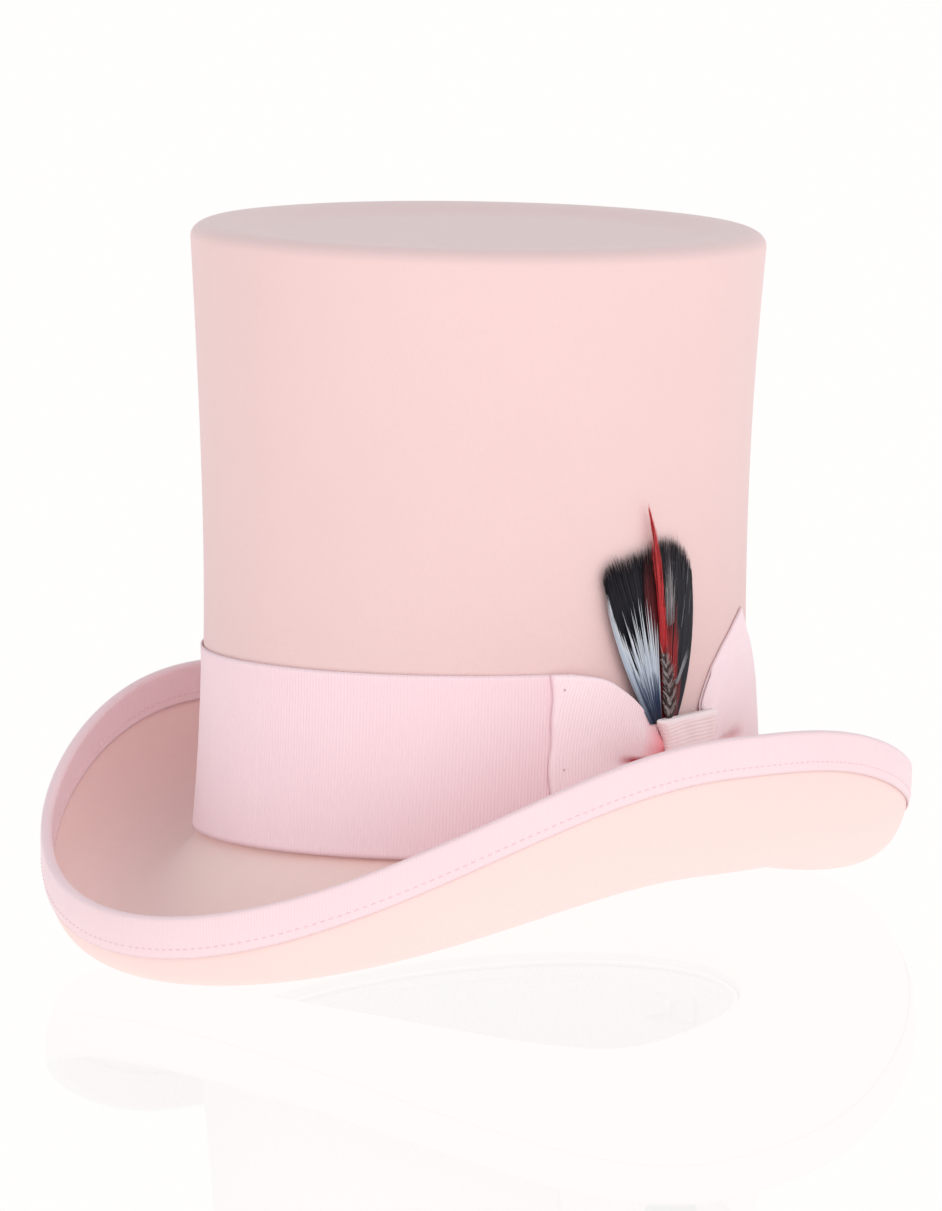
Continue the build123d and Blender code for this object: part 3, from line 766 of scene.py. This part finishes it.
def build_small_bow():
    """The little ribbon bow on the sweatband at the back seam: a figure of eight
    that is narrow at its middle, and a knot round it."""
    middle_z = 14.0
    back = HALF_LENGTH * 0.99 - SWEATBAND_INSET - 4.0
    turn = np.linspace(0, 2 * pi, 61)
    across = np.linspace(-1, 1, 9)[:, None]
    half_width = 1.8 + 3.2 * np.abs(np.sin(turn)) ** 0.8
    x = 12.0 * np.sin(turn) + 0 * across
    y = back - 1.0 * np.sin(2 * turn) * np.sin(turn / 2) - 0.2 * across ** 2
    points = np.stack([x, y, middle_z + half_width * across], -1)
    mesh = grid_mesh("small_bow_loops", points, uv_of(points, across[:, 0] * 0.005))
    bow = add_piece(mesh, MATERIALS["bow_satin"], "hat", ["sweatband_bow"], SATIN, 0.0)
    columns = np.linspace(-1.6, 1.6, 5)[:, None]
    y = back + 1.3 * np.cos(turn) + 0 * columns
    z = middle_z + 2.3 * np.sin(turn) + 0 * columns
    points = np.stack([columns + 0 * turn, y, z], -1)
    mesh = grid_mesh("small_bow_knot", points, uv_of(points, columns[:, 0] / 1000), wrap=True)
    knot = add_piece(mesh, MATERIALS["bow_satin"], "hat")


def build_lining():
    """Satin, gently gathered down the side, with a flat tip."""
    top = CROWN_HEIGHT - DISH_DEPTH - CROWN_FELT - 0.9
    heights = np.linspace(LINING_FOOT, top, 60)
    gathers = 0.35 * np.sin(46 * PHI) + 0.25 * np.sin(29 * PHI + 1.3)
    ease = smooth(heights, LINING_FOOT, 60)[:, None]
    offset = -LINING_INSET - 0.6 - ease * (0.6 + gathers[None, :])
    points = crown_points(PHI[None, :], heights[:, None], offset)
    mesh = grid_mesh("lining_wall", points, uv_of(points, heights / 1000), wrap=True)
    wall = add_piece(mesh, MATERIALS["satin"], "hat", ["lining_side"], SATIN, 0.0)
    edge = crown_points(PHI, top - 0.4, -LINING_INSET - 1.4)
    middle = edge.mean(axis=0)
    rows = []
    for share in np.linspace(1, 0, 24):
        ring = middle + (edge - middle) * share
        ring[:, 2] -= 0.35 * (1 + np.sin(12 * share)) * share
        rows.append(ring)
    points = np.array(rows)
    mesh = grid_mesh("lining_top", points, points[..., :2] / 1000, wrap=True)
    weld_middle(mesh)
    tip = add_piece(mesh, MATERIALS["satin"], "hat", ["lining_tip"], SATIN, 0.0)


# ---------------------------------------- feathers
# Places on the bunch are (y, z): to the back and up.  A fan's places run from front to
# back, and layer is how far it lies out from the rearmost feather.
def barbs(seed, layer, starts, bends, ends, width, fray=0.8, bars=0.0):
    """Points and texture coordinates of flat tapered strips, one for each barb.
    Each leaves its start towards its bend and turns smoothly to its end.  fray is how
    unevenly they end, and bars steps the texture from barb to barb."""
    rng = np.random.default_rng(seed)
    count = len(ends)
    ends = ends + rng.normal(0, fray, ends.shape) * np.array([0.22, 1.0])
    bends = bends + rng.normal(0, 0.2, ends.shape)
    u = np.linspace(0, 1, 11)[None, :, None]
    line = curve(u, starts[:, None], bends[:, None], ends[:, None])
    ahead = np.gradient(line, axis=1)
    ahead /= np.linalg.norm(ahead, axis=2, keepdims=True)
    side = np.stack([-ahead[..., 1], ahead[..., 0]], -1)
    taper = (1 - u[..., 0] ** 4) * 0.9 + 0.1
    half = width / 2 * taper * rng.uniform(0.7, 1.25, (count, 1))
    line[..., 0] -= FEATHER_LEAN * (line[..., 1] - FEATHER_ROOT_Z)
    depth = FEATHER_X + layer + rng.uniform(-0.14, 0.14, (count, 1))
    depth = depth - FEATHER_HUG * np.maximum(line[..., 1] - FEATHER_ROOT_Z, 0)
    depth = depth - line[..., 0] ** 2 / (2 * CROWN_SIDE_RADIUS)
    strips = []
    for sign in (-1, 1):
        flat = line + side * (sign * half)[..., None]
        strips.append(np.concatenate([depth[..., None] + 0.05 * sign, flat], -1))
    points = np.stack(strips, 2)
    own = rng.uniform(0, 1, count) if not bars else np.arange(count) * bars
    uv = np.stack(np.broadcast_arrays(u, own[:, None, None] + 0 * u), -1)[:, :, 0]
    uv = np.repeat(uv[:, :, None], 2, axis=2)
    return points, uv


def spread(line, count):
    """Points along a polyline of (y, z), shared evenly between its corners."""
    line = np.array(line, float)
    at = np.linspace(0, len(line) - 1, count)
    return np.stack([np.interp(at, np.arange(len(line)), line[:, k]) for k in range(2)], -1)


def fan(seed, layer, roots, bends, ends, count, width, **kinds):
    """Barbs side by side from a line of roots, past a line of bends, to a line of ends."""
    starts, middles, tips = (spread(line, count) for line in (roots, bends, ends))
    return barbs(seed, layer, starts, middles, tips, width, **kinds)


def strip_mesh(name, parts):
    """One mesh from groups of strips with the same number of steps."""
    points = np.concatenate([p for p, _ in parts])
    uv = np.concatenate([t for _, t in parts])
    count, steps = points.shape[:2]
    k = np.arange(steps - 1)
    one = np.stack([2 * k, 2 * k + 1, 2 * k + 3, 2 * k + 2], -1)
    faces = (one[None] + (np.arange(count) * steps * 2)[:, None, None]).reshape(-1, 4)
    return finish_mesh(name, to_row(points).reshape(-1, 3), faces, uv.reshape(-1, 2)[faces])


def add_feather(name, parts, look, nodes=()):
    """Puts groups of barbs on the bunch as one piece."""
    add_piece(strip_mesh(name, parts), MATERIALS[look], "feather_bunch", nodes)


def build_black_feathers():
    """Two wide black feathers, and dark red barbs that show between and below them."""
    rear = fan(11, 0.0, [(1, 44), (9.5, 45)], [(1, 76), (11, 72), (20.5, 66)],
               [(0.5, 104.5), (4, 106.2), (9.6, 105.6), (14.3, 103), (17.6, 98.5), (18.8, 92.5)],
               330, 0.95, fray=0.9)
    front = fan(12, 0.35, [(-2.4, 44), (3, 44)], [(-14.8, 66), (-6, 74), (0, 76)],
                [(-22.8, 94.2), (-21.6, 97.4), (-18.2, 100), (-10.1, 101.8), (-4.5, 102.8), (0.6, 103.6)],
                330, 0.95, fray=0.9)
    add_feather("black_plume_rear", [rear], "black", ["black_feather_rear"])
    add_feather("black_plume_front", [front], "black", ["black_feather_front"])
    under = fan(13, 0.7, [(0, 45), (4, 45)], [(-4.5, 74), (0, 76)],
                [(-6.6, 94), (-5.6, 101), (-3.4, 104), (-1.4, 104.5), (1.6, 101)], 60, 0.55, fray=1.8)
    corner = fan(14, 0.6, [(6, 44), (8.6, 45)], [(8, 54), (11.2, 54)],
                 [(8.0, 68), (9.5, 66), (11.6, 61)], 40, 0.6, fray=1.4)
    add_feather("dark_red_plume", [under, corner], "under_red")


def build_pale_hackle():
    """A pale feather: a smooth front edge, a downy body, long wisps and dark quills."""
    edge = fan(23, 1.0, [(-3.8, 44), (-1.8, 44)], [(-16.5, 63), (-11.5, 64)],
               [(-22.2, 89), (-21.0, 85), (-18.2, 78), (-15.0, 73)], 60, 0.6, fray=1.0)
    body = fan(22, 1.15, [(-2.2, 44), (1.0, 44)], [(-9.0, 60), (-4, 60), (0.2, 58)],
               [(-14.5, 71), (-11, 73), (-7.6, 72), (-4, 71), (-0.4, 69)], 62, 0.58, fray=2.8)
    wisps = fan(21, 1.25, [(-1.6, 44), (0.8, 44)], [(-9, 62), (-4, 62), (0, 60)],
                [(-16, 79), (-13.2, 81), (-10.4, 87), (-8, 81), (-5.6, 84), (-3.2, 83), (-0.6, 80)],
                20, 0.62, fray=2.4)
    add_feather("pale_hackle_barbs", [edge, body, wisps], "pale", ["pale_hackle"])
    dark = fan(24, 1.4, [(-2.4, 44), (0.6, 44)], [(-7.5, 53), (-3.5, 54), (-0.4, 54)],
               [(-13, 65), (-9.6, 60), (-7.4, 65), (-4.6, 59), (-2.4, 62), (-0.6, 59)], 13, 0.7, fray=1.2)
    add_feather("blue_black_quills", [dark], "blue")


def build_red_feathers():
    """A narrow spike, with its barbs pressed close along its shaft, and a short hackle."""
    shaft = [(2.6, 60), (1.2, 76), (0.7, 90), (-1.0, 103), (-2.8, 112)]
    left = fan(31, 1.7, shaft, [(0.8, 70), (0.4, 84), (-0.3, 97), (-2.1, 108), (-3.6, 115)],
               [(-0.2, 76), (-0.1, 90), (-1.6, 103), (-3.2, 112), (-4.6, 119.4)], 60, 0.36, fray=0.8)
    right = fan(33, 1.75, shaft, [(3.8, 70), (2.6, 84), (1.7, 96), (-0.6, 107), (-3.0, 115)],
                [(4.2, 74), (2.5, 90), (1.0, 102), (-1.2, 111), (-4.4, 119.2)], 60, 0.36, fray=0.8)
    core = fan(34, 1.8, [(1.4, 57), (4.8, 57)], [(0.4, 84), (2.6, 84)], [(-3.9, 117), (-0.6, 104)],
               9, 0.5, fray=1.6)
    loose = fan(35, 1.65, [(0.6, 82), (-1.2, 99)], [(-1.4, 92), (-2.8, 105)], [(-2.6, 99), (-4.2, 110)],
                16, 0.2, fray=2.2)
    add_feather("red_spike_barbs", [left, right, core, loose], "red", ["red_spike"])
    hackle = fan(32, 1.5, [(2.6, 45), (6.5, 45)], [(2.8, 62), (8.2, 62)],
                 [(2.6, 80), (4.6, 79), (6.4, 82), (9.2, 84), (9.4, 74)], 70, 0.46, fray=2.2)
    add_feather("red_hackle_barbs", [hackle], "deep_red", ["red_hackle"])


def build_small_feathers():
    """A white wisp, a few pale strays, and a little barred feather at the root."""
    wisp = fan(41, 1.6, [(3.6, 76), (7.6, 78)], [(4, 88), (7.4, 88)],
               [(3.4, 92), (4.4, 101), (5.4, 103), (6.4, 97), (8.8, 89)], 22, 0.22, fray=2.6)
    add_feather("white_wisp_barbs", [wisp], "white", ["white_wisp"])
    stray = fan(42, 2.1, [(7.4, 57), (8.2, 57)], [(10.3, 63), (11.3, 62.4)], [(13.8, 69.4), (14.4, 68.0)],
                5, 0.28, fray=0.6)
    whiskers = fan(43, 0.55, [(13.4, 92), (12.2, 76), (15.4, 90), (16.2, 80)],
                   [(13.8, 97), (13.4, 82), (16.2, 95), (17.0, 85)],
                   [(14.4, 102), (15.0, 90), (16.8, 99.5), (17.8, 91)], 4, 0.16, fray=0.5)
    add_feather("pale_strays", [stray, whiskers], "grey")
    shaft = [(3.8, 44.5), (4.4, 52), (3.4, 60), (1.6, 67)]
    right = fan(44, 2.3, shaft, [(6.6, 47), (6.4, 55), (5.2, 62), (2.4, 68)],
                [(7.9, 50), (7.7, 57), (6.2, 64), (2.8, 69.5)], 50, 0.42, fray=1.3, bars=0.11)
    left = fan(45, 2.25, shaft, [(1.8, 47), (2.4, 55), (1.4, 62), (0.6, 68)],
               [(0.4, 50), (1.0, 57), (0.4, 64), (-0.2, 69)], 50, 0.42, fray=1.3, bars=0.11)
    add_feather("barred_barbs_small", [right, left], "barred", ["grizzly_feather"])


def restyle_cad_nodes():
    """Parts that are fine as they come from CAD get their procedural finish."""
    for node, look in (
        ("sweatband_reed", "reed"), ("feather_pin", "steel"), ("feather_thread_wrap", "wrap"),
    ):
        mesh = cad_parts[node].data
        mesh.materials.clear()
        mesh.materials.append(MATERIALS[look])
        mesh.shade_smooth()


# ---------------------------------------- stage
AZIMUTH = radians(46.0)
ELEVATION = radians(9.1)
DISTANCE = 4.5
LOOK_AT = Vector((0.0, 0.0, 0.105))
ROLL = radians(-1.1)
LENS = 391.2
SHIFT = (-0.0041, 0.0107)
BOX_AZIMUTH = radians(66.0)
BOX_DISTANCE = 2.2
TENT_STRENGTH = 0.97
FLOOR_HALF_SIZE = 14.0
FLOOR_GLOW = 1.28          # what the hat gets from the floor; the camera sees it as 1
FLOOR_MIRROR = 0.10        # the share of the floor's look that is mirror image


def add_camera():
    """A long lens at the wearer's front left, a little above the brim."""
    back = Vector((sin(AZIMUTH) * cos(ELEVATION), -cos(AZIMUTH) * cos(ELEVATION), sin(ELEVATION)))
    data = bpy.data.cameras.new("camera")
    data.lens = LENS
    data.sensor_width = 36.0
    data.shift_x, data.shift_y = SHIFT
    data.clip_start = 0.05
    data.clip_end = 100.0
    camera = bpy.data.objects.new("camera", data)
    bpy.context.scene.collection.objects.link(camera)
    camera.location = LOOK_AT + back * DISTANCE
    camera.rotation_mode = "QUATERNION"
    aim = (-back).to_track_quat("-Z", "Y")
    camera.rotation_quaternion = aim @ Quaternion((0, 0, 1), ROLL)
    bpy.context.scene.camera = camera


def add_floor():
    """A pale glowing table that gives a faint mirror image of what stands on it."""
    mesh = bpy.data.meshes.new("studio_floor")
    half = FLOOR_HALF_SIZE
    corners = [(-half, -half, 0), (half, -half, 0), (half, half, 0), (-half, half, 0)]
    mesh.from_pydata(corners, [], [(0, 1, 2, 3)])
    floor = bpy.data.objects.new("studio_floor", mesh)
    bpy.context.scene.collection.objects.link(floor)
    material = bpy.data.materials.new("glowing_table")
    material.use_nodes = True
    material.node_tree.nodes.clear()
    new, link = material.node_tree.nodes.new, material.node_tree.links.new
    out = new("ShaderNodeOutputMaterial")
    glow = new("ShaderNodeEmission")
    glow.inputs["Color"].default_value = (1.0, 0.995, 0.985, 1)
    seen = new("ShaderNodeLightPath").outputs["Is Camera Ray"]
    strength = new("ShaderNodeMath")
    strength.operation = "MULTIPLY_ADD"
    strength.inputs[1].default_value = 1.0 - FLOOR_GLOW
    strength.inputs[2].default_value = FLOOR_GLOW
    link(seen, strength.inputs[0])
    link(strength.outputs[0], glow.inputs["Strength"])
    gloss = new("ShaderNodeBsdfGlossy")
    gloss.inputs["Color"].default_value = (1, 1, 1, 1)
    gloss.inputs["Roughness"].default_value = 0.02
    mix = new("ShaderNodeMixShader")
    mix.inputs[0].default_value = FLOOR_MIRROR
    link(glow.outputs[0], mix.inputs[1])
    link(gloss.outputs[0], mix.inputs[2])
    link(mix.outputs[0], out.inputs[0])
    mesh.materials.append(material)


def add_light():
    """A light tent: bright walls, dimmer and cooler overhead, and a soft box in front."""
    world = bpy.data.worlds.new("light_tent")
    bpy.context.scene.world = world
    world.use_nodes = True
    new, link = world.node_tree.nodes.new, world.node_tree.links.new
    place = new("ShaderNodeTexCoord")
    split = new("ShaderNodeSeparateXYZ")
    ramp = new("ShaderNodeValToRGB")
    link(place.outputs["Generated"], split.inputs[0])
    link(split.outputs[2], ramp.inputs[0])
    low, high = ramp.color_ramp.elements
    low.position = 0.42
    low.color = (1.0, 1.0, 1.0, 1)
    high.position = 0.9
    high.color = (0.50, 0.62, 0.66, 1)
    background = world.node_tree.nodes["Background"]
    background.inputs["Strength"].default_value = TENT_STRENGTH
    link(ramp.outputs[0], background.inputs["Color"])
    data = bpy.data.lights.new("soft_box", "AREA")
    data.shape = "RECTANGLE"
    data.size = 1.6
    data.size_y = 1.0
    data.energy = 10.0
    box = bpy.data.objects.new("soft_box", data)
    bpy.context.scene.collection.objects.link(box)
    towards = Vector((sin(BOX_AZIMUTH), -cos(BOX_AZIMUTH), 0.55)).normalized()
    box.location = LOOK_AT + towards * BOX_DISTANCE
    box.rotation_mode = "QUATERNION"
    box.rotation_quaternion = (-towards).to_track_quat("-Z", "Y")


build_crown()
build_brim()
build_binding()
build_binding_stitches()
build_band()
build_front_wing()
build_rear_wing()
build_knot()
build_tacks()
build_sweatband()
build_small_bow()
build_lining()
build_black_feathers()
build_pale_hackle()
build_red_feathers()
build_small_feathers()
restyle_cad_nodes()
add_camera()
add_floor()
add_light()
bpy.context.scene.view_settings.view_transform = "Standard"
